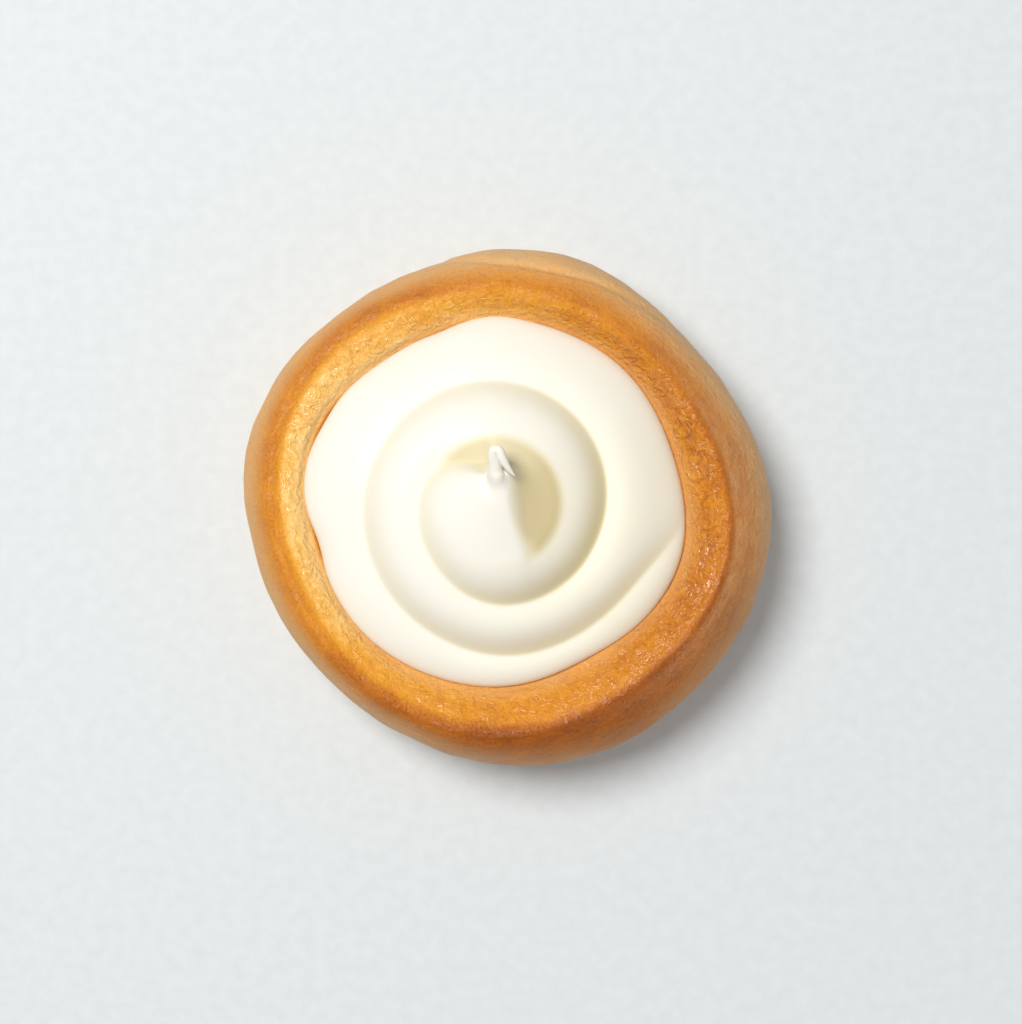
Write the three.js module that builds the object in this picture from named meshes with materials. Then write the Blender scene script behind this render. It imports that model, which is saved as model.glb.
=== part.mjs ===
// A round milk bread bun with a well pressed into its top, filled with a piped swirl of whipped cream.
// Millimetres, +Z up. The flat underside of the bun rests on z = 0, below the middle of the model's box.
import * as THREE from 'three';
import { mergeVertices } from 'three/addons/utils/BufferGeometryUtils.js';

// ---- the bun ----
const BUN_RADIUS = 54.5; // mean radius of the outline, where the side is widest
const BUN_HEIGHT = 31; // underside to the crest of the rim
const WIDEST_HEIGHT = 13; // height at which the side is widest
const FOOT_INSET = 9.5; // from the outline in to the edge of the flat underside
const CREST_INSET = 8.3; // from the outline in to the crest of the rim
const RIM_WIDTH = 15.9; // from the outline in to the edge of the well
const LIP_DROP = 5; // from the crest down to the edge of the well
const WELL_DEPTH = 17; // from the crest down to the floor of the well
const WELL_WALL_RUN = 11; // how far the wall of the well slopes in on its way down
const SIDE_FULLNESS = 0.56; // how far the curves of the side bulge towards their corners
const WELL_CENTRE = new THREE.Vector2(-2.4, 0.7); // the well was pressed a little off the middle

// ---- the cream ----
const CREAM_GAP = 0.3; // clearance between cream and bread
const EDGE_ROLL = 2.8; // height of the rounded edge of the outer coil
const DOME_RISE = 14; // from the outer edge's roll up to the top of the mound
const GROOVE_DEPTH = 2.4; // how deep the groove between two coils is
const GROOVE_INNER_RUN = 2.2; // the steep side of the groove, on the coil inside it
const GROOVE_OUTER_RUN = 3.6; // the shallow side of the groove, on the coil outside it
const PEAK_HEIGHT = 8.5; // the drawn-up tip above the mound
const PEAK_RADIUS = 9.5; // where the peak flares out into the mound
const PEAK_FOOT = new THREE.Vector2(1, -2.6); // the middle of the peak's foot, from the well's centre
const PEAK_LEAN = new THREE.Vector2(-0.7, 10.5); // how far the tip has flopped over

// The groove winds outwards, anticlockwise from above: [turned so far in degrees, share of the well's radius].
const GROOVE_ROUTE = [
  [-60, 0.24], [30, 0.33], [90, 0.385], [180, 0.395], [270, 0.53],
  [360, 0.59], [450, 0.64], [540, 0.69], [630, 0.81], [680, 0.84], [720, 1.04],
];
const GROOVE_FADE_IN = 80; // degrees over which the inner end of the groove deepens
const GROOVE_FADE_OUT = 110; // degrees over which its outer end runs out

// Slow waves round an outline: how many lobes, how far each stands out, and the direction of one in degrees.
const OUTLINE_WAVES = [
  { lobes: 1, rise: 0.42, at: 298 },
  { lobes: 2, rise: 1.41, at: 147 },
  { lobes: 3, rise: 0.37, at: 62 },
  { lobes: 4, rise: 0.86, at: 82 },
  { lobes: 5, rise: 0.4, at: 6.5 },
];
const WELL_WAVES = [
  { lobes: 2, rise: 0.7, at: 178 },
  { lobes: 4, rise: 0.7, at: 72 },
  { lobes: 6, rise: 0.37, at: 40 },
];

// ---- how finely the surfaces are divided ----
const SEGMENTS = 64; // round the bun
const SIDE_STEPS = 7; // along each curved stretch of the bun's section
const WELL_STEPS = 5; // along the wall of the well
const CREAM_RINGS = 26; // rings of the cream's top, edge to pole

const WELL_RADIUS = BUN_RADIUS - RIM_WIDTH;
const LIP_HEIGHT = BUN_HEIGHT - LIP_DROP;
const FLOOR_HEIGHT = BUN_HEIGHT - WELL_DEPTH;
const FLOOR_RADIUS = WELL_RADIUS - WELL_WALL_RUN;

const radians = THREE.MathUtils.degToRad;

function heading(angle) {
  return new THREE.Vector2(Math.cos(angle), Math.sin(angle));
}

function waves(list, angle) {
  return list.reduce((sum, wave) => sum + wave.rise * Math.cos(wave.lobes * (angle - radians(wave.at))), 0);
}

// Turns a radius on the round section into a place on the real outline. Inside the well it is measured
// from the well's centre, at the outline from the bun's centre, and across the rim it blends from one to the other.
function place(radius, angle) {
  const share = Math.min(radius / WELL_RADIUS, 1);
  const wellEdge = WELL_RADIUS + waves(WELL_WAVES, angle);
  const inner = heading(angle).multiplyScalar(share * wellEdge).add(WELL_CENTRE);
  const outline = heading(angle).multiplyScalar(BUN_RADIUS + waves(OUTLINE_WAVES, angle));
  const acrossRim = Math.max(radius - WELL_RADIUS, 0) / RIM_WIDTH;
  return inner.lerp(outline, acrossRim);
}

// Revolves a section of [radius, height] points about the axis, then moves each vertex to where
// shape(point index, angle) puts it, and closes the seam and the two poles.
function revolve(section, shape) {
  const lathe = new THREE.LatheGeometry(section, SEGMENTS);
  const position = lathe.getAttribute('position');
  for (let i = 0; i < position.count; i += 1) {
    const turn = Math.floor(i / section.length) % SEGMENTS;
    const vertex = shape(i % section.length, (2 * Math.PI * turn) / SEGMENTS);
    position.setXYZ(i, vertex.x, vertex.y, vertex.z);
  }
  return closeSeams(lathe);
}

function closeSeams(geometry) {
  geometry.deleteAttribute('normal');
  geometry.deleteAttribute('uv');
  const merged = mergeVertices(geometry);
  const index = merged.getIndex().array;
  const kept = [];
  for (let i = 0; i < index.length; i += 3) {
    const [a, b, c] = index.slice(i, i + 3);
    if (a !== b && b !== c && c !== a) kept.push(a, b, c);
  }
  merged.setIndex(kept);
  merged.computeVertexNormals();
  return merged;
}

// Points along the wall of the well, from the middle of its floor up to its edge, moved inwards by a clearance.
function wellSection(clearance) {
  const wall = new THREE.CubicBezierCurve(
    new THREE.Vector2(FLOOR_RADIUS, FLOOR_HEIGHT),
    new THREE.Vector2(FLOOR_RADIUS + 0.5 * WELL_WALL_RUN, FLOOR_HEIGHT),
    new THREE.Vector2(WELL_RADIUS - 0.25 * WELL_WALL_RUN, LIP_HEIGHT - 0.3 * (WELL_DEPTH - LIP_DROP)),
    new THREE.Vector2(WELL_RADIUS, LIP_HEIGHT),
  );
  const points = wall.getPoints(WELL_STEPS).map((p) => new THREE.Vector2(p.x - clearance, p.y + clearance));
  return [new THREE.Vector2(0, FLOOR_HEIGHT + clearance), ...points];
}

function bunSection() {
  const footRadius = BUN_RADIUS - FOOT_INSET;
  const crestRadius = BUN_RADIUS - CREST_INSET;
  const lowerSide = new THREE.CubicBezierCurve(
    new THREE.Vector2(footRadius, 0),
    new THREE.Vector2(footRadius + SIDE_FULLNESS * FOOT_INSET, 0),
    new THREE.Vector2(BUN_RADIUS, (1 - SIDE_FULLNESS) * WIDEST_HEIGHT),
    new THREE.Vector2(BUN_RADIUS, WIDEST_HEIGHT),
  );
  const upperSide = new THREE.CubicBezierCurve(
    new THREE.Vector2(BUN_RADIUS, WIDEST_HEIGHT),
    new THREE.Vector2(BUN_RADIUS, WIDEST_HEIGHT + SIDE_FULLNESS * (BUN_HEIGHT - WIDEST_HEIGHT)),
    new THREE.Vector2(crestRadius + SIDE_FULLNESS * CREST_INSET, BUN_HEIGHT),
    new THREE.Vector2(crestRadius, BUN_HEIGHT),
  );
  const innerSlope = new THREE.CubicBezierCurve(
    new THREE.Vector2(crestRadius, BUN_HEIGHT),
    new THREE.Vector2(crestRadius - 0.5 * (crestRadius - WELL_RADIUS), BUN_HEIGHT),
    new THREE.Vector2(WELL_RADIUS + 0.25 * (crestRadius - WELL_RADIUS), LIP_HEIGHT + 0.35 * LIP_DROP),
    new THREE.Vector2(WELL_RADIUS, LIP_HEIGHT),
  );
  return [
    new THREE.Vector2(0, 0),
    ...lowerSide.getPoints(SIDE_STEPS),
    ...upperSide.getPoints(SIDE_STEPS).slice(1),
    ...innerSlope.getPoints(SIDE_STEPS).slice(1),
    ...wellSection(0).reverse().slice(1),
  ];
}

function bunGeometry() {
  const section = bunSection();
  return revolve(section, (point, angle) => {
    const { x, y } = place(section[point].x, angle);
    return new THREE.Vector3(x, y, section[point].y);
  });
}

// The share of the well's radius at which the groove lies once it has turned this far.
const grooveCurve = new THREE.SplineCurve(GROOVE_ROUTE.map(([turned, share]) => new THREE.Vector2(turned, share)));
const grooveTable = grooveCurve.getPoints(200);

function grooveShare(turned) {
  const next = Math.max(grooveTable.findIndex((p) => p.x >= turned), 1);
  const [a, b] = [grooveTable[next - 1], grooveTable[next]];
  return THREE.MathUtils.mapLinear(turned, a.x, b.x, a.y, b.y);
}

// How far the groove sinks the cream's surface at a place given from the well's centre.
function grooveSink(radius, angle) {
  const start = GROOVE_ROUTE[0][0];
  const end = GROOVE_ROUTE[GROOVE_ROUTE.length - 1][0];
  const direction = THREE.MathUtils.radToDeg(angle);
  let sink = 0;
  for (let turned = direction - 360; turned < end; turned += 360) {
    if (turned > start) {
      const away = radius - grooveShare(turned) * WELL_RADIUS;
      const run = away < 0 ? GROOVE_INNER_RUN : GROOVE_OUTER_RUN;
      const fadeIn = THREE.MathUtils.smoothstep(turned, start, start + GROOVE_FADE_IN);
      const fadeOut = 1 - THREE.MathUtils.smoothstep(turned, end - GROOVE_FADE_OUT, end);
      sink += GROOVE_DEPTH * fadeIn * fadeOut * Math.exp(-((Math.abs(away) / run) ** 1.3));
    }
  }
  return sink;
}

// A point of the cream's top: a soft dome with a rolled edge, a spiral groove, and a drawn-up leaning peak.
function creamTop(share, angle) {
  const pole = PEAK_FOOT.clone().multiplyScalar((1 - share) ** 2);
  const flat = place(share * (WELL_RADIUS - CREAM_GAP), angle).add(pole);
  const fromCentre = flat.clone().sub(WELL_CENTRE);
  const turn = (fromCentre.angle() + 2 * Math.PI) % (2 * Math.PI);
  const roll = EDGE_ROLL * Math.sqrt(1 - share ** 20);
  const dome = DOME_RISE * (1 - share ** 2) ** 1.3;
  const sink = grooveSink(fromCentre.length(), turn) * Math.sqrt(1 - share ** 20);
  const fromPeak = fromCentre.distanceTo(PEAK_FOOT) / PEAK_RADIUS;
  const drawn = Math.max(1 - fromPeak, 0) ** 1.6;
  flat.addScaledVector(PEAK_LEAN, drawn);
  const height = LIP_HEIGHT + CREAM_GAP + roll + dome - sink + PEAK_HEIGHT * drawn;
  return new THREE.Vector3(flat.x, flat.y, height);
}

function creamGeometry() {
  const underside = wellSection(CREAM_GAP);
  const shares = Array.from({ length: CREAM_RINGS }, (_, ring) => 1 - (ring + 1) / CREAM_RINGS);
  const topRings = shares.map((share) => new THREE.Vector2(share * WELL_RADIUS, BUN_HEIGHT));
  return revolve([...underside, ...topRings], (point, angle) => {
    if (point >= underside.length) return creamTop(shares[point - underside.length], angle);
    const { x, y } = place(underside[point].x, angle);
    return new THREE.Vector3(x, y, underside[point].y);
  });
}

function piece(name, geometry, material) {
  const mesh = new THREE.Mesh(geometry, new THREE.MeshStandardMaterial(material));
  mesh.name = name;
  return mesh;
}

const crust = { color: '#c9853f', roughness: 0.45, metalness: 0 };
const whippedCream = { color: '#f7f2e2', roughness: 0.35, metalness: 0 };
const bun = piece('bread_bun', bunGeometry(), crust);
const cream = piece('cream_swirl', creamGeometry(), whippedCream);

// Both pieces move together so that the middle of the box's underside is the origin.
const middle = new THREE.Box3().setFromObject(bun).getCenter(new THREE.Vector3());
for (const mesh of [bun, cream]) mesh.geometry.translate(-middle.x, -middle.y, 0);

const milkBread = new THREE.Group();
milkBread.name = 'milk_bread';
milkBread.add(bun, cream);

export default milkBread;
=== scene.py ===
"""A round milk bread bun filled with a whipped cream swirl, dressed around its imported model.

Metres, +Z up, origin in the middle of the underside. The sizes below are in millimetres, as a baker
measures them.
"""
import math
from collections import namedtuple

import bmesh
import bpy
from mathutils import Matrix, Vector, geometry, noise


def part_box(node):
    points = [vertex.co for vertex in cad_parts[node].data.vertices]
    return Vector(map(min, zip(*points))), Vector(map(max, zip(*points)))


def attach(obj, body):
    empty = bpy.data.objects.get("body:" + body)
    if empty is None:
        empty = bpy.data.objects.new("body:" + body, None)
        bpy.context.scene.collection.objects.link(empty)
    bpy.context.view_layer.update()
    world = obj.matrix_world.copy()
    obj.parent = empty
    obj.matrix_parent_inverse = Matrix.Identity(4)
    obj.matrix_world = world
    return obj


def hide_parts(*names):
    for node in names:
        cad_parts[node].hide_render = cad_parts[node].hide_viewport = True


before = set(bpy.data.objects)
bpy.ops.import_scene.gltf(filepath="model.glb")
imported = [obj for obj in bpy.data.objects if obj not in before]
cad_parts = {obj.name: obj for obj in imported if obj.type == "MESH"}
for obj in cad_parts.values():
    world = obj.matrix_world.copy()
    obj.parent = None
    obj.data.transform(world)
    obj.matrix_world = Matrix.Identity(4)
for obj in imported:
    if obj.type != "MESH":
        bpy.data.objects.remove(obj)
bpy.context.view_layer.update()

MM = 0.001
bun_low, bun_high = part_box("bread_bun")

# ---- the bun's section and plan, in millimetres ----
BUN_RADIUS = 54.5
BUN_HEIGHT = (bun_high.z - bun_low.z) / MM
WIDEST_HEIGHT = 13.0
FOOT_INSET = 9.5
CREST_INSET = 8.3
RIM_WIDTH = 15.9
LIP_DROP = 5.0
WELL_RADIUS = BUN_RADIUS - RIM_WIDTH
LIP_HEIGHT = BUN_HEIGHT - LIP_DROP
WELL_FLOOR = BUN_HEIGHT - 17.0
WELL_WALL_RUN = 11.0
WELL_CENTRE = Vector((-2.4, 0.7))

# Slow waves round an outline: lobes, how far each stands out, the direction of one in degrees.
OUTLINE_WAVES = ((1, 0.42, 298), (2, 1.41, 147), (3, 0.37, 62), (4, 0.86, 82), (5, 0.4, 6.5))
WELL_WAVES = ((2, 0.7, 178), (4, 0.7, 72), (6, 0.37, 40))
# Where the cream's edge leaves that wave: direction, half width in degrees, how far it reaches out.
EDGE_NUDGES = (
    (90, 10, 0.6), (108, 7, -0.4), (155, 10, -0.8), (178, 10, 0.3), (193, 8, -0.9), (316, 14, 0.6),
)

TURN_STEPS = 600
CREAM_TURN_STEPS = 400

# Steps along each stretch of the bun's section, from the middle of its underside round into the well.
FOOT_STEPS = 12
SIDE_STEPS = 22
SHOULDER_STEPS = 42
RIM_STEPS = 22
WALL_STEPS = 12
FLOOR_STEPS = 6


# ---- small helpers ----
def gauss(x, half_width):
    """A bell that is 1 at 0 and about a third at half_width."""
    return math.exp(-(x / half_width) ** 2)


def smooth(x, low, high):
    """0 below low, 1 above high and an even S between them."""
    t = min(max((x - low) / (high - low), 0.0), 1.0)
    return t * t * (3.0 - 2.0 * t)


def apart(angle, degrees):
    """How many degrees an angle in radians is from a direction in degrees, from -180 to 180."""
    return (math.degrees(angle) - degrees + 180.0) % 360.0 - 180.0


def heading(angle):
    """The flat unit vector that points along an angle."""
    return Vector((math.cos(angle), math.sin(angle)))


def waves(table, angle):
    """How far the slow waves of a table move an outline out at an angle."""
    return sum(rise * math.cos(lobes * (angle - math.radians(at))) for lobes, rise, at in table)


def look_up(table, x):
    """The row of a table at x, its first column, with the values in between blended."""
    if x <= table[0][0]:
        return table[0][1:]
    for low, high in zip(table, table[1:]):
        if high[0] >= x:
            t = (x - low[0]) / (high[0] - low[0])
            return tuple(p + (q - p) * t for p, q in zip(low[1:], high[1:]))
    return table[-1][1:]


def around(table, angle):
    """The row of a table of directions in degrees, blended smoothly between the two nearest."""
    degrees = math.degrees(angle) % 360.0
    closed = (*table, (360.0 + table[0][0], *table[0][1:]))
    for low, high in zip(closed, closed[1:]):
        if high[0] >= degrees:
            t = smooth(degrees, low[0], high[0])
            return [p + (q - p) * t for p, q in zip(low[1:], high[1:])]


def bumps(table, angle):
    """What the single bumps of a table of (direction, half width, rise) add up to at an angle."""
    return sum(rise * gauss(apart(angle, at), width) for at, width, rise in table)


def place(radius, angle):
    """Where a radius of the round section lies on the real outline, from the bun's centre."""
    share = min(radius / WELL_RADIUS, 1.0)
    well_edge = WELL_RADIUS + waves(WELL_WAVES, angle)
    inner = heading(angle) * share * well_edge + WELL_CENTRE
    outline = heading(angle) * (BUN_RADIUS + waves(OUTLINE_WAVES, angle))
    across_rim = max(radius - WELL_RADIUS, 0.0) / RIM_WIDTH
    return inner.lerp(outline, across_rim)


def outline_middle():
    """The middle of the box round the bun's outline."""
    rim = [place(BUN_RADIUS, math.radians(degree)) for degree in range(360)]
    middle_x = (max(p.x for p in rim) + min(p.x for p in rim)) / 2
    middle_y = (max(p.y for p in rim) + min(p.y for p in rim)) / 2
    return Vector((middle_x, middle_y))


BOX_MIDDLE = Vector(((bun_low.x + bun_high.x) / 2, (bun_low.y + bun_high.y) / 2)) / MM
SHIFT = BOX_MIDDLE - outline_middle()


def metres(flat, height):
    """A point given in millimetres from the bun's centre, as a place in the frame."""
    return Vector((flat.x + SHIFT.x, flat.y + SHIFT.y, height)) * MM


def bezier(start, first, second, end, steps):
    """Points (radius, height) along a Bezier curve, without the last one."""
    corners = [Vector((p[0], 0.0, p[1])) for p in (start, first, second, end)]
    return geometry.interpolate_bezier(*corners, steps + 1)[:-1]


def spun(section, steps):
    """A section of points in the XZ plane turned once about Z. Their numbers are kept in "step"."""
    bm = bmesh.new()
    step = bm.verts.layers.int.new("step")
    ring = [bm.verts.new(point) for point in section]
    for number, vert in enumerate(ring):
        vert[step] = number
    edges = [bm.edges.new(pair) for pair in zip(ring, ring[1:])]
    bmesh.ops.spin(bm, geom=ring + edges, cent=(0, 0, 0), axis=(0, 0, 1), angle=math.tau,
                   steps=steps, use_merge=True)
    bmesh.ops.remove_doubles(bm, verts=bm.verts, dist=1e-5)
    bmesh.ops.recalc_face_normals(bm, faces=bm.faces)
    return bm, step


def finished(bm, name, material):
    """A bmesh made an object of one material, with smooth faces and its place in its mesh."""
    for face in bm.faces:
        face.smooth = True
    mesh = bpy.data.meshes.new(name)
    bm.to_mesh(mesh)
    bm.free()
    piece = bpy.data.objects.new(name, mesh)
    bpy.context.scene.collection.objects.link(piece)
    mesh.materials.append(material)
    return piece


# ---- materials ----
def linear(hex_colour):
    """An sRGB hex colour as linear RGBA."""
    channels = [int(hex_colour[i:i + 2], 16) / 255 for i in (1, 3, 5)]
    return tuple(c / 12.92 if c <= 0.04045 else ((c + 0.055) / 1.055) ** 2.4 for c in channels) + (1.0,)


def set_stops(ramp, stops):
    """Gives a colour ramp its (position, hex colour) stops."""
    while len(ramp.elements) < len(stops):
        ramp.elements.new(0.5)
    for element, (position, hex_colour) in zip(ramp.elements, stops):
        element.position = position
        element.color = linear(hex_colour)


def add_node(tree, kind, settings=None, **inputs):
    """Adds a node. settings are its own properties, with stops for a colour ramp's; inputs are values or
    links for its sockets, by their name, or by _ and their number."""
    node = tree.nodes.new(kind)
    for key, value in (settings or {}).items():
        if key == "stops":
            set_stops(node.color_ramp, value)
        else:
            setattr(node, key, value)
    for key, value in inputs.items():
        numbered = key[0] == "_"
        socket = node.inputs[int(key[1:])] if numbered else node.inputs[key.replace("_", " ")]
        if isinstance(value, bpy.types.NodeSocket):
            tree.links.new(value, socket)
        else:
            socket.default_value = value
    return node


def new_material(name):
    """A material with only its main shader and its output."""
    material = bpy.data.materials.new(name)
    material.use_nodes = True
    tree = material.node_tree
    tree.nodes.clear()
    shader = add_node(tree, "ShaderNodeBsdfPrincipled")
    output = add_node(tree, "ShaderNodeOutputMaterial")
    tree.links.new(shader.outputs["BSDF"], output.inputs["Surface"])
    return material, tree, shader


NOISE, MATH, RANGE, MIX = "ShaderNodeTexNoise", "ShaderNodeMath", "ShaderNodeMapRange", "ShaderNodeMix"
ATTRIBUTE, PLACE, RAMP = "ShaderNodeAttribute", "ShaderNodeTexCoord", "ShaderNodeValToRGB"
TIMES, TIMES_PLUS = {"operation": "MULTIPLY"}, {"operation": "MULTIPLY_ADD"}
CLAMPED = {"use_clamp": True}

# Milk dough as it browns, from raw to nearly burnt.
BROWNING = (
    (0.0, "#FCD388"), (0.15, "#F5BE64"), (0.3, "#E8A33C"), (0.45, "#D88C28"), (0.6, "#BE7020"),
    (0.75, "#9F5516"), (0.9, "#7B3F15"), (1.0, "#5E2D10"),
)
# Pale dough for floury crust and for the painted light beside the cream, and the darker brown of pores.
FLOURY_AND_LIT_DOUGH, PORE_BROWN = "#DDB07A", "#B07A48"
# Cream's own warm white, at 0, to a buttery tan that is painted shade: in the grooves' flanks, the hollow
# and the side away from the window.
CREAM_TO_PAINTED_SHADE = ((0.0, "#F4F2EA"), (0.12, "#F1EEE2"), (0.5, "#E9E0C2"), (1.0, "#D4C497"))
BOARD_GRAIN = ((0.3, "#D6DCDF"), (0.7, "#DBE1E4"))


def crust_colour(tree, level, pallor, streaks, pore):
    """Dough to dark crust by its level of browning, which carries some painted light and sheen, dulled
    towards pale dough where it is floury and as painted light beside the cream, with darker pores.
    """
    crust = add_node(tree, RAMP, {"stops": BROWNING}, _0=level)
    flaky = add_node(tree, RANGE, None, Value=streaks, From_Min=0.35, From_Max=0.65,
                     To_Min=0.65, To_Max=1.3)
    floury = add_node(tree, MATH, TIMES | CLAMPED, _0=pallor, _1=flaky.outputs[0])
    dulled = add_node(tree, MIX, {"data_type": "RGBA"}, Factor=floury.outputs[0],
                      _6=crust.outputs["Color"], _7=linear(FLOURY_AND_LIT_DOUGH))
    pored = add_node(tree, MIX, {"data_type": "RGBA", "blend_type": "MULTIPLY"}, Factor=pore,
                     _6=dulled.outputs[2], _7=linear(PORE_BROWN))
    return pored.outputs[2]


def brushed_streaks(tree):
    """The streaks that the brush left round the rim, 3.5 mm long and 0.9 mm wide."""
    along_rim = add_node(tree, ATTRIBUTE, {"attribute_name": "along_rim"}).outputs["Vector"]
    streak_scale = (1 / 3.5, 1 / 3.5, 1 / 0.9)  # along_rim is in millimetres
    streak_place = add_node(tree, "ShaderNodeMapping", None, Vector=along_rim, Scale=streak_scale)
    streaks = add_node(tree, NOISE, None, Vector=streak_place.outputs[0], Scale=1.0, Detail=4.0,
                       Roughness=0.6, Distortion=0.5)
    return streaks.outputs["Fac"]


def browning_and_painted_light_level(tree, where, glaze, streaks, wrinkles):
    """How far the crust browned, from 0 to 1, with the painted light and sheen that the mesh's level
    carries: in 7 mm patches, with the streaks and a 0.55 mm grain.
    """
    bake = add_node(tree, ATTRIBUTE, {"attribute_name": "bake"}).outputs["Fac"]
    mottle = add_node(tree, NOISE, None, Vector=where, Scale=1 / (7 * MM), Detail=5.0, Roughness=0.6)
    grain = add_node(tree, NOISE, None, Vector=where, Scale=1 / (0.55 * MM), Detail=3.0, Roughness=0.6)
    mottled = add_node(tree, MATH, TIMES_PLUS, _0=mottle.outputs["Fac"], _1=0.30, _2=bake)
    streaky = add_node(tree, MATH, TIMES_PLUS, _0=streaks, _1=0.18, _2=mottled.outputs[0])
    grainy = add_node(tree, MATH, TIMES_PLUS, _0=grain.outputs["Fac"], _1=0.26, _2=streaky.outputs[0])
    # 0.345 takes off about what the three add on average.
    centred = add_node(tree, MATH, {"operation": "SUBTRACT"}, _0=grainy.outputs[0], _1=0.345)
    # The wash gathers in the low places between the wrinkles and browns there.
    low_places = add_node(tree, MATH, TIMES_PLUS, _0=wrinkles, _1=-1.0, _2=0.5)
    gathered = add_node(tree, MATH, TIMES, _0=low_places.outputs[0], _1=glaze)
    level = add_node(tree, MATH, TIMES_PLUS | CLAMPED, _0=gathered.outputs[0], _1=0.5,
                     _2=centred.outputs[0])
    return level.outputs[0]


def crust_bump(tree, glaze, streaks, wrinkles, pore):
    """The skin's fine relief: wrinkles, deepest in the thick wash, with streaks and pits."""
    depth = add_node(tree, RANGE, None, Value=glaze, From_Min=0.0, From_Max=1.0, To_Min=0.4, To_Max=1.3)
    wrinkled = add_node(tree, MATH, TIMES, _0=wrinkles, _1=depth.outputs[0])
    brushed = add_node(tree, MATH, TIMES_PLUS, _0=streaks, _1=0.3, _2=wrinkled.outputs[0])
    pitted = add_node(tree, MATH, TIMES_PLUS, _0=pore, _1=-0.3, _2=brushed.outputs[0])
    bump = add_node(tree, "ShaderNodeBump", None, Height=pitted.outputs[0], Strength=0.9,
                    Distance=0.7 * MM)
    return bump.outputs["Normal"]


def egg_washed_crust():
    """Milk bread crust brushed with egg wash and baked: golden to chestnut, finely streaked and pored,
    with a thin gloss that glints where the wash dried in wrinkles."""
    material, tree, shader = new_material("egg_washed_milk_bread_crust")
    where = add_node(tree, PLACE).outputs["Object"]
    pallor = add_node(tree, ATTRIBUTE, {"attribute_name": "pallor"}).outputs["Fac"]
    glaze = add_node(tree, ATTRIBUTE, {"attribute_name": "glaze"}).outputs["Fac"]
    streaks = brushed_streaks(tree)
    # The dried wash wrinkles every 1.8 mm, and there is a fine pore in each millimetre.
    wrinkles = add_node(tree, NOISE, None, Vector=where, Scale=1 / (1.8 * MM), Detail=2.5, Roughness=0.5,
                        Distortion=1.2).outputs["Fac"]
    pores = add_node(tree, "ShaderNodeTexVoronoi", {"feature": "F1"}, Vector=where, Scale=1 / (1.0 * MM))
    pore = add_node(tree, RANGE, {"interpolation_type": "SMOOTHSTEP"}, Value=pores.outputs["Distance"],
                    From_Min=0.04, From_Max=0.24, To_Min=0.3, To_Max=0.0).outputs[0]
    # The level carries painted light beside the cream and painted sheen on the upper left inner slope.
    level = browning_and_painted_light_level(tree, where, glaze, streaks, wrinkles)
    tree.links.new(crust_colour(tree, level, pallor, streaks, pore), shader.inputs["Base Color"])

    satin = add_node(tree, RANGE, None, Value=streaks, From_Min=0.35, From_Max=0.65,
                     To_Min=0.38, To_Max=0.56)
    tree.links.new(satin.outputs[0], shader.inputs["Roughness"])
    # The wash dried in pools 3.5 mm across, with hardly any gloss between them.
    pools = add_node(tree, NOISE, None, Vector=where, Scale=1 / (3.5 * MM), Detail=3.0, Roughness=0.5)
    dried = add_node(tree, RANGE, None, Value=pools.outputs["Fac"], From_Min=0.42, From_Max=0.58,
                     To_Min=0.15, To_Max=1.0)
    gloss = add_node(tree, MATH, TIMES, _0=glaze, _1=dried.outputs[0])
    tree.links.new(gloss.outputs[0], shader.inputs["Coat Weight"])
    normal = crust_bump(tree, glaze, streaks, wrinkles, pore)
    tree.links.new(normal, shader.inputs["Normal"])
    tree.links.new(normal, shader.inputs["Coat Normal"])
    shader.inputs["IOR"].default_value = 1.45
    shader.inputs["Specular IOR Level"].default_value = 0.16
    shader.inputs["Coat Roughness"].default_value = 0.12
    shader.inputs["Coat IOR"].default_value = 1.6
    shader.inputs["Subsurface Weight"].default_value = 0.04
    shader.inputs["Subsurface Radius"].default_value = (1.0, 0.4, 0.15)
    shader.inputs["Subsurface Scale"].default_value = 1.0 * MM
    return material


def whipped_cream():
    """Stiff whipped milk cream: warm white and satin, with painted shade in buttery tan down its folds,
    in its hollow and on its side away from the window.
    """
    material, tree, shader = new_material("whipped_milk_cream")
    where = add_node(tree, PLACE).outputs["Object"]
    fold = add_node(tree, ATTRIBUTE, {"attribute_name": "fold"}).outputs["Fac"]
    # Its tone drifts over 14 mm, and its whipped bubbles leave a fine 0.7 mm grain.
    cloud = add_node(tree, NOISE, None, Vector=where, Scale=1 / (14 * MM), Detail=3.0, Roughness=0.5)
    # The painted shade kept on the mesh is added to the tone's random drift, so the folds, the hollow and
    # the lee side turn buttery tan.
    tone = add_node(tree, MATH, TIMES_PLUS | CLAMPED, _0=cloud.outputs["Fac"], _1=0.12, _2=fold)
    cream = add_node(tree, RAMP, {"stops": CREAM_TO_PAINTED_SHADE}, _0=tone.outputs[0])
    tree.links.new(cream.outputs["Color"], shader.inputs["Base Color"])
    fine = add_node(tree, NOISE, None, Vector=where, Scale=1 / (0.7 * MM), Detail=3.0, Roughness=0.5)
    satin = add_node(tree, RANGE, None, Value=fine.outputs["Fac"], From_Min=0.3, From_Max=0.7,
                     To_Min=0.38, To_Max=0.48)
    tree.links.new(satin.outputs[0], shader.inputs["Roughness"])
    shader.inputs["IOR"].default_value = 1.4
    shader.inputs["Specular IOR Level"].default_value = 0.3
    shader.inputs["Subsurface Weight"].default_value = 0.16
    shader.inputs["Subsurface Radius"].default_value = (1.0, 0.7, 0.4)
    shader.inputs["Subsurface Scale"].default_value = 0.9 * MM
    bump = add_node(tree, "ShaderNodeBump", None, Height=fine.outputs["Fac"], Strength=0.12,
                    Distance=0.1 * MM)
    tree.links.new(bump.outputs["Normal"], shader.inputs["Normal"])
    return material


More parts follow.
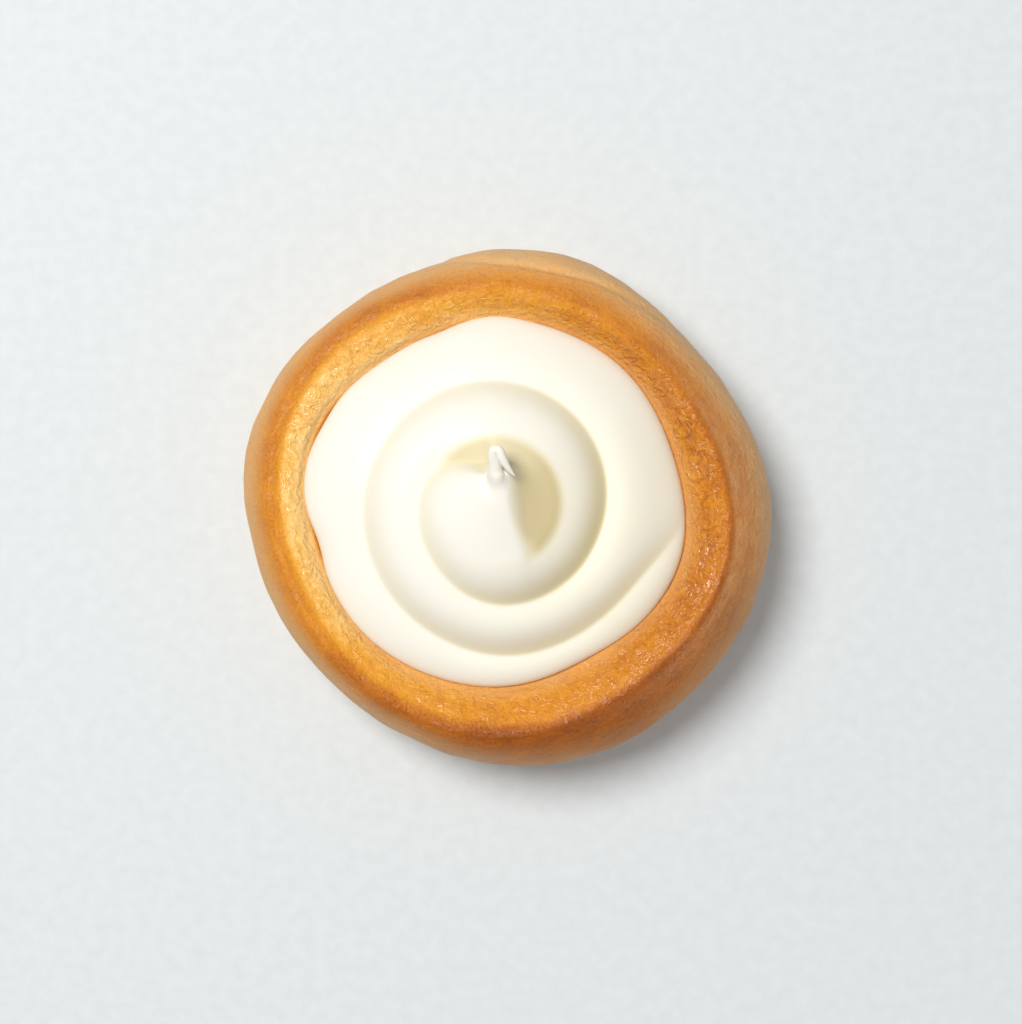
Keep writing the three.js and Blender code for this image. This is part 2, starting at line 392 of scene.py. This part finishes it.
def pale_floor():
    """Matt off-white studio board with a very faint grain."""
    material, tree, shader = new_material("matt_studio_board")
    where = add_node(tree, PLACE).outputs["Object"]
    grain = add_node(tree, NOISE, None, Vector=where, Scale=1 / (3 * MM), Detail=3.0)
    tone = add_node(tree, RAMP, {"stops": BOARD_GRAIN}, _0=grain.outputs["Fac"])
    tree.links.new(tone.outputs["Color"], shader.inputs["Base Color"])
    shader.inputs["Roughness"].default_value = 0.8
    return material


# ---- the bun ----
CREST_RADIUS = BUN_RADIUS - CREST_INSET
# Where the crest wanders from its circle: direction, half width in degrees, how far it moves out.
CREST_SWAY = ((65, 45, -2.2), (128, 22, 2.0), (250, 45, 1.4))
# Where the rim stands higher or lower: direction, half width in degrees, rise.
RIM_RISES = ((160, 65, -2.0), (300, 60, 0.6), (60, 40, 0.3))
# Where the crest is pinched sharp, and where the dark band reaches further in, by how many millimetres:
# direction, half width in degrees.
SHARP_CREST = (335, 60)
WIDE_BAND = (210, 90)
WIDE_BAND_REACH = 2.2
# Where the egg wash lies thicker than its usual half: direction, half width in degrees, how much more.
WASH_PATCHES = ((165, 60, 0.5), (20, 35, 0.4))

# How brown the crust is round the bun, anticlockwise from +X: direction, the rim's inner slope and the
# band past its crest, each from 0, pale dough, to 1, dark crust, and how floury the outer side is. The
# inner slope's pale tone at the upper left is partly uneven baking and partly painted sheen.
BAKE_AND_SHEEN_ROUND = (
    (0, 0.53, 0.68, 0.75), (30, 0.53, 0.60, 0.80), (60, 0.44, 0.46, 0.85), (90, 0.33, 0.41, 0.80),
    (120, 0.22, 0.50, 0.55), (150, 0.13, 0.48, 0.50), (180, 0.09, 0.46, 0.60), (210, 0.14, 0.46, 0.65),
    (240, 0.33, 0.60, 0.60), (270, 0.44, 0.70, 0.35), (300, 0.49, 0.72, 0.12), (330, 0.54, 0.70, 0.35),
)
WELL_BAKE = 0.5
UNDERSIDE_BAKE = 0.62
# The seam where the end of the dough was folded over: direction, how far it lies from the bun's middle.
SEAM = ((28, 52.6), (40, 51.8), (50, 51.1), (60, 50.3), (75, 49.4), (90, 50.3), (102, 52.6), (108, 54.0))


def bun_section():
    """The bun from the middle of its underside, round its side, over the rim and into the well."""
    foot = BUN_RADIUS - FOOT_INSET
    full = 0.56  # how far a curve's handle reaches to its corner; this is nearly a quarter of an ellipse
    floor_radius = WELL_RADIUS - WELL_WALL_RUN
    rise = BUN_HEIGHT - WIDEST_HEIGHT
    points = [Vector((foot * i / FOOT_STEPS, 0.0, 0.0)) for i in range(FOOT_STEPS)]
    points += bezier((foot, 0), (foot + full * FOOT_INSET, 0), (BUN_RADIUS, (1 - full) * WIDEST_HEIGHT),
                     (BUN_RADIUS, WIDEST_HEIGHT), SIDE_STEPS)
    points += bezier((BUN_RADIUS, WIDEST_HEIGHT), (BUN_RADIUS, WIDEST_HEIGHT + full * rise),
                     (CREST_RADIUS + full * CREST_INSET, BUN_HEIGHT), (CREST_RADIUS, BUN_HEIGHT),
                     SHOULDER_STEPS)
    run = CREST_RADIUS - WELL_RADIUS
    points += bezier((CREST_RADIUS, BUN_HEIGHT), (CREST_RADIUS - 0.4 * run, BUN_HEIGHT),
                     (WELL_RADIUS + 0.3 * run, LIP_HEIGHT + 0.4 * LIP_DROP), (WELL_RADIUS, LIP_HEIGHT),
                     RIM_STEPS)
    drop = LIP_HEIGHT - WELL_FLOOR
    points += bezier((WELL_RADIUS, LIP_HEIGHT),
                     (WELL_RADIUS - 0.25 * WELL_WALL_RUN, LIP_HEIGHT - 0.3 * drop),
                     (floor_radius + 0.5 * WELL_WALL_RUN, WELL_FLOOR), (floor_radius, WELL_FLOOR),
                     WALL_STEPS)
    floor_shares = [1 - i / FLOOR_STEPS for i in range(FLOOR_STEPS + 1)]
    return points + [Vector((floor_radius * share, 0.0, WELL_FLOOR)) for share in floor_shares]


def path_along(section):
    """How far along the section each of its points lies."""
    path = [0.0]
    for start, end in zip(section, section[1:]):
        path.append(path[-1] + (end - start).length)
    return path


def crest_shift(radius, height, angle):
    """How far the crest's sway moves a point of the rim out, in millimetres."""
    if radius < WELL_RADIUS:
        return 0.0
    inside = smooth(radius, WELL_RADIUS, CREST_RADIUS)
    outside = 1 - smooth(radius, CREST_RADIUS, BUN_RADIUS)
    return bumps(CREST_SWAY, angle) * min(inside, outside) * smooth(height, 12, 24)


def seam_offset(flat, angle):
    """How far past the seam a place lies, in millimetres, and how plainly the seam shows there."""
    degrees = math.degrees(angle) % 360.0
    strength = smooth(degrees, 30, 55) * (1 - smooth(degrees, 103, 109))
    return flat.length - look_up(SEAM, degrees)[0], strength


# A place on the bun's skin: its radius and height on the round section, its direction, how far out it is
# from the crest and from the dark band's inner edge, how sharp the crest is there, whether it is on the
# rim's top, whether it is on that or on the shoulder outside it, how far past the seam it is and how
# plainly the seam shows.
CrustSpot = namedtuple(
    "CrustSpot", "radius height angle across past_edge sharp on_rim upper past_seam seam")


def crust_spot(radius, height, angle, flat):
    on_rim = height > LIP_HEIGHT - 0.01 and radius > WELL_RADIUS - 0.01
    upper = on_rim or (height > WIDEST_HEIGHT and radius > CREST_RADIUS)
    across = radius - CREST_RADIUS
    band_at, band_width = WIDE_BAND
    past_edge = across + WIDE_BAND_REACH * gauss(apart(angle, band_at), band_width)
    sharp_at, sharp_width = SHARP_CREST
    sharp = gauss(apart(angle, sharp_at), sharp_width)
    past_seam, seam = seam_offset(flat, angle) if upper and across > 0 else (0.0, 0.0)
    return CrustSpot(radius, height, angle, across, past_edge, sharp, on_rim, upper, past_seam, seam)


def rim_rise(radius, height, angle):
    """How far the rim stands above its even height there, in millimetres."""
    rim_share = smooth(radius, WELL_RADIUS + 0.5, WELL_RADIUS + 6) * smooth(height, 8, 26)
    return rim_share * bumps(RIM_RISES, angle)


def seam_strip(spot):
    """How far a place is in the strip of stretched dough just outside the seam, from 0 to 1."""
    return spot.seam * smooth(spot.past_seam, -0.3, 0.5) * (1 - smooth(spot.past_seam, 2.0, 4.5))


def browning_and_painted_light(spot, inner_bake_and_sheen, band_bake):
    """How far the crust browned: pale inside the rim, dark past the crest, paler again down the side,
    and paled beside the cream as painted light.
    """
    level = WELL_BAKE
    if spot.on_rim or spot.across > 0:
        blend = 1.5 - 0.8 * spot.sharp
        level = inner_bake_and_sheen + (band_bake - inner_bake_and_sheen) * smooth(spot.past_edge, -blend, blend)
        level += 0.05 * gauss(spot.across - 1.5, 2.0) - 0.16 * smooth(spot.across, 3.0, 8.0)
        level -= 0.14 * smooth(WIDEST_HEIGHT - spot.height, -6, 8)
        # Painted light: the crust beside the cream is paled, most at the upper left, to lift the contact
        # shade there.
        painted_light_by_cream = 0.06 + 0.1 * gauss(apart(spot.angle, 150), 80)
        level -= painted_light_by_cream * (1 - smooth(spot.radius, WELL_RADIUS + 0.5, WELL_RADIUS + 3.5))
    level -= 0.09 * seam_strip(spot)
    under = smooth(2.5 - spot.height, 0, 2.5)
    return level + (UNDERSIDE_BAKE - level) * under


def flouriness_and_painted_light(spot, floury):
    """How matt and floury the crust is, on its side and by the crest at +X, with painted light paling it
    beside the cream.
    """
    side = smooth(spot.radius, BUN_RADIUS - 8.0, BUN_RADIUS - 1.5) * smooth(spot.height, 2, 6)
    # Painted light: the pale band beside the cream lifts the contact shade there.
    lit_by_cream = 1 - smooth(spot.radius, WELL_RADIUS + 0.3, WELL_RADIUS + 3.0)
    matt_band = 0.4 * gauss(apart(spot.angle, 0), 45) * smooth(spot.across, 0.0, 1.4)
    matt_band *= smooth(spot.height, 8, 20)
    level = max(floury * side, matt_band) + (0.45 * lit_by_cream if spot.on_rim else 0.0)
    return min(level + 0.2 * seam_strip(spot), 0.85)


def wash(spot):
    """How thickly the egg wash dried: inside the rim up to its crest, with a trace past it."""
    washed = min(0.5 + bumps(WASH_PATCHES, spot.angle), 1.0)
    brushed = smooth(spot.radius, WELL_RADIUS + 0.2, WELL_RADIUS + 1.6)
    brushed *= 1 - smooth(spot.past_edge, -2.2, 0.8)
    return max(washed * brushed * spot.on_rim, 0.1 * smooth(spot.height, 18, 26))


def crust_lift(spot):
    """How far the crest, the dip inside it and the folded seam move the skin out, in millimetres."""
    lift = (0.04 + 0.4 * spot.sharp) * gauss(spot.across + 0.2, 0.9) if spot.upper else 0.0
    lift -= (0.05 + 0.2 * spot.sharp) * gauss(spot.across + 3.2, 2.0) if spot.on_rim else 0.0
    flap = 0.3 * smooth(spot.past_seam, 0, 1.2) * (1 - smooth(spot.past_seam, 2.5, 5))
    crease = 0.35 * gauss(spot.past_seam, 0.6)
    return lift + spot.seam * (flap - crease)


def relief_share(spot):
    """How much of the skin's relief shows: none under the cream or on the flat underside."""
    if spot.on_rim:
        return smooth(spot.radius, WELL_RADIUS + 0.1, WELL_RADIUS + 1.6)
    return smooth(spot.height, 0.5, 6) if spot.across > 0 else 0.0


def bun_relief(point, along_rim, glaze):
    """How far the skin stands out, in millimetres: slow lumps, and wrinkles where it is glazed."""
    p = point / MM
    lumps = 0.5 * noise.noise(p / 17.0) + 0.24 * noise.noise(p / 6.5 + Vector((3, 1, 7)))
    streaks = noise.noise(Vector((along_rim[0] / 4.0, along_rim[1] / 4.0, along_rim[2] / 1.3)))
    pits = noise.noise(p / 1.7 + Vector((9, 2, 4)))
    return lumps + 0.05 * streaks + 0.03 * pits + glaze * (0.1 * streaks + 0.16 * pits)


def make_bun():
    section = bun_section()
    path = path_along(section)
    bm, step = spun(section, TURN_STEPS)
    bake, pallor, glaze = (bm.verts.layers.float.new(name) for name in ("bake", "pallor", "glaze"))
    along_rim = bm.verts.layers.float_vector.new("along_rim")
    relief = bm.verts.layers.float.new("relief")
    for vert in bm.verts:
        radius, height = section[vert[step]].x, section[vert[step]].z
        angle = math.atan2(vert.co.y, vert.co.x)
        flat = place(radius + crest_shift(radius, height, angle), angle)
        spot = crust_spot(radius, height, angle, flat)
        vert.co = metres(flat, height + rim_rise(radius, height, angle))
        ring = heading(angle) * CREST_RADIUS
        vert[along_rim] = (ring.x, ring.y, path[vert[step]])
        # The table's inner column is partly painted sheen, and the crust beside the cream is paled as
        # painted light.
        inner_bake_and_sheen, band_bake, floury = around(BAKE_AND_SHEEN_ROUND, angle)
        vert[bake] = browning_and_painted_light(spot, inner_bake_and_sheen, band_bake)
        vert[pallor] = flouriness_and_painted_light(spot, floury)
        vert[glaze] = wash(spot)
        skin = bun_relief(vert.co, vert[along_rim], vert[glaze])
        vert[relief] = crust_lift(spot) + skin * relief_share(spot)
    bm.normal_update()
    for vert in bm.verts:
        vert.co += vert.normal * vert[relief] * MM
        vert.co.z = max(vert.co.z, 0.0)
    bm.verts.layers.float.remove(relief)
    bun = finished(bm, "milk_bread_bun", egg_washed_crust())
    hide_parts("bread_bun")
    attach(bun, "root")
    return bun


# ---- the cream ----
# How high its edge rolls up, how far its dome rises above that and how far it stays off the bread, in
# millimetres; the share of its radius where the tip's rings start; and how far a coil's flank runs down.
EDGE_ROLL = 2.8
DOME_RISE = 14.0
CREAM_GAP = 0.08
PEAK_SHARE = 0.10
FLANK_RUN = 3.6

# The groove between the coils, anticlockwise from the tip's foot out to the edge: degrees turned, share
# of the well's radius, depth, how far its outer side runs before it is level.
GROOVE_ROUTE = (
    (60, 0.12, 0.0, 8.0), (88, 0.135, 0.0, 8.0), (106, 0.18, 2.6, 7.0),
    (130, 0.285, 3.2, 5.0), (160, 0.365, 2.8, 4.6), (190, 0.40, 2.4, 4.6), (225, 0.445, 2.6, 4.4),
    (270, 0.533, 3.0, 4.2), (316, 0.56, 3.3, 4.0), (345, 0.572, 3.4, 4.0), (394, 0.611, 3.0, 4.4),
    (449, 0.639, 2.3, 5.0), (502, 0.657, 2.0, 5.0), (549, 0.696, 2.0, 4.8), (598, 0.757, 2.3, 3.8),
    (635, 0.815, 2.4, 3.0), (678, 0.84, 1.8, 2.6), (699, 0.90, 1.2, 2.4), (720, 1.06, 0.0, 2.4),
)
# The hollow beside the tip: its radius, the direction in degrees and the slope at which its floor falls
# away, how far behind the well's centre the fall starts, and how far the hollow's outer side runs.
HOLLOW_RADIUS = 13.6
HOLLOW_FALL_DIRECTION = -38.0
HOLLOW_SLOPE = 0.08
HOLLOW_START = 10.0
HOLLOW_OUTER_RUN = 8.5
# The ridge that runs down from the tip, on the hollow's left: a point of its line, how far right the line
# moves for each millimetre down, where it tops out and ends, and how far it rises.
RIDGE_X = 0.2
RIDGE_Y = 9.0
RIDGE_SLANT = 0.12
RIDGE_TOP_Y = 5.5
RIDGE_END_Y = -11.0
RIDGE_RISE = 4.1
RIDGE_TOP_RISE = 0.4
# The drawn-up tip from its foot to the end of its curl: how far along, x and y from the well's centre,
# height above the well's edge, radius.
PEAK_PATH = (
    (0.00, 0.45, 4.2, 20.4, 2.7), (0.14, 0.45, 4.5, 20.5, 2.3), (0.28, 0.38, 5.1, 20.5, 1.8),
    (0.42, 0.20, 6.4, 20.4, 1.4), (0.52, 0.05, 7.8, 21.0, 1.25), (0.61, -0.20, 9.3, 21.9, 1.1),
    (0.69, 0.05, 10.4, 22.6, 1.0), (0.78, 0.95, 10.2, 22.7, 1.0), (0.86, 1.55, 8.8, 22.4, 0.95),
    (0.93, 2.75, 6.8, 21.8, 0.6), (1.00, 4.3, 5.0, 21.2, 0.0),
)


def catmull_value(t, p, q, r, s):
    """The value t of the way from q to r, on a smooth curve that also heads from p and to s."""
    bend = (2 * p - 5 * q + 4 * r - s) * t * t + (3 * q - p - 3 * r + s) * t ** 3
    return 0.5 * (2 * q + (r - p) * t + bend)


def catmull(points, steps):
    """A smooth curve through points of any number of values, as a list of tuples."""
    spots = [points[0], *points, points[-1]]
    curve = []
    for corners in zip(spots, spots[1:], spots[2:], spots[3:]):
        for i in range(steps):
            curve.append(tuple(catmull_value(i / steps, *values) for values in zip(*corners)))
    return curve + [points[-1]]


FIRST_TURN, LAST_TURN = GROOVE_ROUTE[0][0], GROOVE_ROUTE[-1][0]
GROOVE_CURVE = catmull(GROOVE_ROUTE, 16)
GROOVE_BY_DEGREE = [look_up(GROOVE_CURVE, turned) for turned in range(FIRST_TURN, LAST_TURN + 1)]
PEAK_CURVE = catmull(PEAK_PATH, 12)


def groove_at(turned):
    """The groove's share of the well's radius, depth and outer run after some degrees of turn."""
    low = min(int(turned - FIRST_TURN), len(GROOVE_BY_DEGREE) - 2)
    t = turned - FIRST_TURN - low
    return [p + (q - p) * t for p, q in zip(GROOVE_BY_DEGREE[low], GROOVE_BY_DEGREE[low + 1])]


def groove_sink(radius, angle):
    """How far the groove sinks the cream at a place given from the well's centre, in millimetres, and how
    much of that is on the steep flank of the coil inside it."""
    sink = flank = 0.0
    turned = math.degrees(angle) % 360.0 - 360.0
    while turned < LAST_TURN:
        if turned > FIRST_TURN:
            share, depth, outer_run = groove_at(turned)
            away = radius - share * WELL_RADIUS
            if away < 0:
                sink += depth * math.exp(-(-away / FLANK_RUN) ** 1.5)
                flank += depth * gauss(away, 2.8)
            else:
                sink += depth * math.exp(-(away / outer_run) ** 1.4)
                flank += depth * gauss(away, 0.4)
        turned += 360.0
    return sink, flank


def ridge_side(spot):
    """How far right of the ridge that runs down from the tip a spot lies, in millimetres."""
    return spot.x - RIDGE_X - (RIDGE_Y - spot.y) * RIDGE_SLANT


def hollow_sink(spot):
    """How far the hollow beside the peak sinks the cream, in millimetres."""
    turn = math.degrees(math.atan2(spot.y, spot.x))
    fall = spot.dot(heading(math.radians(HOLLOW_FALL_DIRECTION)))
    depth = max(HOLLOW_SLOPE * (fall + HOLLOW_START), 0.0)
    past_edge = max(spot.length - HOLLOW_RADIUS, 0.0)
    inside = math.exp(-(past_edge / HOLLOW_OUTER_RUN) ** 1.3)
    opens = smooth(turn, -80, -20) * (1 - smooth(turn, 70, 130))
    clear = 1 - (1 - smooth(ridge_side(spot), 0.6, 5.0)) * (1 - smooth(spot.y, 5.5, 9.5))
    return depth * inside * opens * clear


def hollow_painted_shade(spot):
    """How much painted shade a place gets on the floor of the hollow, from 0 to 1."""
    turn = math.degrees(math.atan2(spot.y, spot.x))
    fall = spot.dot(heading(math.radians(HOLLOW_FALL_DIRECTION)))
    inside = 1 - smooth(spot.length, HOLLOW_RADIUS - 1.6, HOLLOW_RADIUS + 1.2)
    opens = smooth(turn, -70, -40) * (1 - smooth(turn, 130, 165))
    past_ridge = max(smooth(ridge_side(spot), 0.6, 5.2), smooth(spot.y, 4.5, 9.0))
    if turn > 85:
        past_ridge *= smooth(spot.length - groove_at(turn)[0] * WELL_RADIUS, -0.8, 0.8)
    return (0.75 + 0.25 * smooth(fall, -6, 6)) * inside * opens * past_ridge


def ridge_rise(spot):
    """How far the ridge under the tip stands up, in millimetres. It narrows as it climbs to the tip."""
    up_ridge = min(max((spot.y - RIDGE_END_Y) / (RIDGE_TOP_Y - RIDGE_END_Y), 0.0), 1.0)
    side = ridge_side(spot)
    foot_width, top_width = (7.0, 4.4) if side > 0 else (9.0, 5.5)
    half_width = foot_width + (top_width - foot_width) * up_ridge ** 2
    rise = RIDGE_RISE * up_ridge ** 1.5 + RIDGE_TOP_RISE * up_ridge ** 8
    return rise * gauss(side, half_width) * (1 - smooth(spot.y, RIDGE_TOP_Y, RIDGE_TOP_Y + 3.0))


def cream_surface(share, angle):
    """A point of the coils, before the tip is drawn up: its place from the well's centre with its height
    above the well's edge, and how much painted shade it gets, from 0 to 1."""
    pole = Vector(PEAK_PATH[0][1:3]) * (1 - share) ** 2
    reach = share ** 6 * bumps(EDGE_NUDGES, angle)
    spot = place(share * (WELL_RADIUS - CREAM_GAP), angle) - WELL_CENTRE + pole + heading(angle) * reach
    height, fold = cream_height(spot, math.sqrt(max(1 - share ** 20, 0.0)))
    return Vector((spot.x, spot.y, height)), fold


def cream_height(spot, roll_share=1.0):
    """The coils' height above the well's edge, and how much painted shade a spot gets, from 0 to 1: in
    the grooves' flanks, on the hollow's floor and over the side away from the window. roll_share brings
    the rolled edge and the groove down to nothing where the cream meets the bread."""
    turn = math.atan2(spot.y, spot.x)
    dome_share = min(spot.length / (WELL_RADIUS + waves(WELL_WAVES, turn)), 1.0)
    dome = DOME_RISE * (1 - dome_share ** 2) ** 1.3
    groove, flank = groove_sink(spot.length, turn)
    hollow = hollow_sink(spot)
    height = EDGE_ROLL * roll_share + dome + ridge_rise(spot) - (groove + hollow) * roll_share
    # Painted shade: buttery tan in the grooves' flanks, on the hollow's floor and over the side that
    # faces away from the window.
    away_from_window = gauss(apart(turn, -20), 75)
    shade_tint = (0.1 + 0.1 * away_from_window) * flank * roll_share + 0.9 * hollow_painted_shade(spot)
    shade_tint += 0.2 * away_from_window * smooth(spot.length, 11, 14)
    return height, min(shade_tint, 1.0)


def peak_frames(steps):
    """Centre, radius and two directions across for each ring of the tip, foot first."""
    rings = []
    across = Vector((1, 0, 0))
    for i in range(steps + 1):
        along = i / steps
        x, y, z, radius = look_up(PEAK_CURVE, along)
        centre = Vector((x, y, z))
        ahead = Vector(look_up(PEAK_CURVE, min(along + 0.02, 1.0))[:3])
        behind = Vector(look_up(PEAK_CURVE, max(along - 0.02, 0.0))[:3])
        onward = (ahead - behind).normalized()
        normal = Vector((0, 0, 1)).lerp(onward, smooth(along, 0.26, 0.56)).normalized()
        across = (across - normal * across.dot(normal)).normalized()
        rings.append((centre, radius, across.copy(), normal.cross(across)))
    return rings


COIL_RINGS = 130
PEAK_RINGS = 64
UNDER_STEPS = FLOOR_STEPS + WALL_STEPS


def cream_section():
    """The cream from the middle of its underside out to its edge, then rings to its tip, shaped later."""
    floor_radius = WELL_RADIUS - WELL_WALL_RUN
    drop = LIP_HEIGHT - WELL_FLOOR
    points = [Vector((floor_radius * i / FLOOR_STEPS, 0.0, WELL_FLOOR)) for i in range(FLOOR_STEPS)]
    points += bezier((floor_radius, WELL_FLOOR), (floor_radius + 0.5 * WELL_WALL_RUN, WELL_FLOOR),
                     (WELL_RADIUS - 0.25 * WELL_WALL_RUN, LIP_HEIGHT - 0.3 * drop),
                     (WELL_RADIUS, LIP_HEIGHT), WALL_STEPS)
    rings = COIL_RINGS + PEAK_RINGS
    for i in range(rings + 1):
        points.append(Vector((WELL_RADIUS * (1 - i / rings), 0.0, LIP_HEIGHT + i * 0.1)))
    return points


def cream_point(ring, angle, frames):
    """A point of the cream's top by its ring, counted in from the edge, and how much painted shade it
    gets.
    """
    if ring <= COIL_RINGS:
        share = 1 - (1 - PEAK_SHARE) * ring / COIL_RINGS
        return cream_surface(share, angle)
    along = (ring - COIL_RINGS) / PEAK_RINGS
    coil, fold = cream_surface(PEAK_SHARE * (1 - along), angle)
    centre, radius, across, over = frames[ring - COIL_RINGS]
    peak = centre + (across * math.cos(angle) + over * math.sin(angle)) * radius
    draped = 1 - smooth(along, 0.22, 0.45)
    peak.z += draped * (cream_height(peak.xy)[0] - cream_height(centre.xy)[0])
    drawn = smooth(along, 0.0, 0.45)
    return coil.lerp(peak, drawn), fold * (1 - drawn)


def make_cream():
    bm, step = spun(cream_section(), CREAM_TURN_STEPS)
    # Painted shade for the cream's colour, from 0 to 1, kept on each vertex.
    fold = bm.verts.layers.float.new("fold")
    frames = peak_frames(PEAK_RINGS)
    for vert in bm.verts:
        x, y, height = vert.co
        radius, angle = math.hypot(x, y), math.atan2(y, x)
        if vert[step] >= UNDER_STEPS:
            spot, vert[fold] = cream_point(vert[step] - UNDER_STEPS, angle, frames)
            vert.co = metres(spot.xy + WELL_CENTRE, LIP_HEIGHT + CREAM_GAP + spot.z)
        else:
            flat = place(max(radius - CREAM_GAP, 0.0), angle)
            vert.co = metres(flat, height + CREAM_GAP)
    bmesh.ops.remove_doubles(bm, verts=bm.verts, dist=1e-7)
    bmesh.ops.recalc_face_normals(bm, faces=bm.faces)
    cream = finished(bm, "cream_swirl_top", whipped_cream())
    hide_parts("cream_swirl")
    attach(cream, "root")
    return cream


# ---- the studio ----
VIEW_MIDDLE = Vector((0.9, -1.2))  # millimetres from the bun's centre
VIEW_WIDTH = 0.2181  # metres across the view, at the bun's widest line
LENS_MM = 85.0
SENSOR_MM = 36.0
LIGHT_DISTANCE = 1.2  # metres
LIT_PLACE = Vector((0, 0, 0.02))


def add_camera():
    """Straight above the bun, looking down, with +Y at the top of the view."""
    camera_data = bpy.data.cameras.new("overhead")
    camera_data.lens = LENS_MM
    camera_data.sensor_width = SENSOR_MM
    distance = VIEW_WIDTH * LENS_MM / SENSOR_MM
    camera = bpy.data.objects.new("overhead", camera_data)
    bpy.context.scene.collection.objects.link(camera)
    middle = metres(VIEW_MIDDLE, 0)
    camera.location = (middle.x, middle.y, WIDEST_HEIGHT * MM + distance)
    camera.rotation_euler = (0.0, 0.0, 0.0)
    bpy.context.scene.camera = camera


def add_light(name, size, power, azimuth, elevation, colour):
    """A round soft light aimed at the bun, at a direction in degrees."""
    light = bpy.data.lights.new(name, "AREA")
    light.shape = "DISK"
    light.size = size
    light.energy = power
    light.color = linear(colour)[:3]
    lamp = bpy.data.objects.new(name, light)
    bpy.context.scene.collection.objects.link(lamp)
    across = math.cos(math.radians(elevation)) * LIGHT_DISTANCE
    lamp.location = (across * math.cos(math.radians(azimuth)), across * math.sin(math.radians(azimuth)),
                     math.sin(math.radians(elevation)) * LIGHT_DISTANCE)
    lamp.rotation_euler = (LIT_PLACE - lamp.location).to_track_quat("-Z", "Y").to_euler()
    return light


def add_studio():
    """A plain board, an even sky, a window at the upper left and a small light at the lower right."""
    bm = bmesh.new()
    bmesh.ops.create_grid(bm, x_segments=1, y_segments=1, size=1.5)
    floor = finished(bm, "studio_floor", pale_floor())
    world = bpy.data.worlds.new("soft_sky")
    world.use_nodes = True
    sky = world.node_tree.nodes["Background"]
    sky.inputs["Color"].default_value = linear("#F4F8FB")
    sky.inputs["Strength"].default_value = 0.26
    bpy.context.scene.world = world
    add_light("window_key", size=0.52, power=12.9, azimuth=140, elevation=66, colour="#FFFCF8")
    low_glint = add_light("low_glint", size=0.15, power=2.2, azimuth=318, elevation=46, colour="#FFFDFA")
    # The low light only lights up the dried wash: it casts no shadow, so the window's is the only one.
    low_glint.use_shadow = False
    bpy.context.scene.view_settings.view_transform = "Standard"


add_camera()
make_bun()
make_cream()
add_studio()
